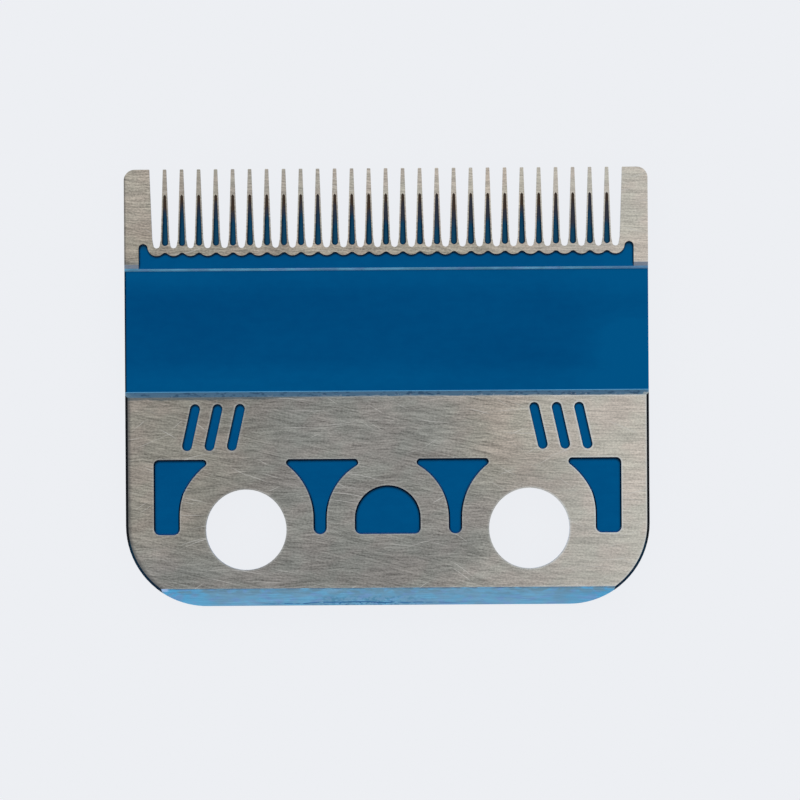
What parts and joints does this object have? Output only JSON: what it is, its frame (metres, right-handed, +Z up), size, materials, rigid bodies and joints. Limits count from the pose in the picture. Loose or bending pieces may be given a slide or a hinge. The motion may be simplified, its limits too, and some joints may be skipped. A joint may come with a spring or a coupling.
{
  "type": "hair clipper fixed blade",
  "caption": "Flat steel lower blade of a hair clipper: a row of fine tapered teeth, a shallow channel across, pocketed rear land and a pair of screw holes.",
  "frame": {"origin": "midway between the two screw holes, on the flat skin side that the blade lies on", "axes": "+X along the tooth row, +Y towards the tooth tips, +Z up out of the ground inner side"},
  "size_m": [0.046, 0.0384, 0.003],
  "materials": {
    "blued_steel": "satin blue coat on hardened steel, with the inner lands ground bare"
  },
  "bodies": {
    "root": {"fixed_blade": "blued_steel"}
  },
  "joints": []
}
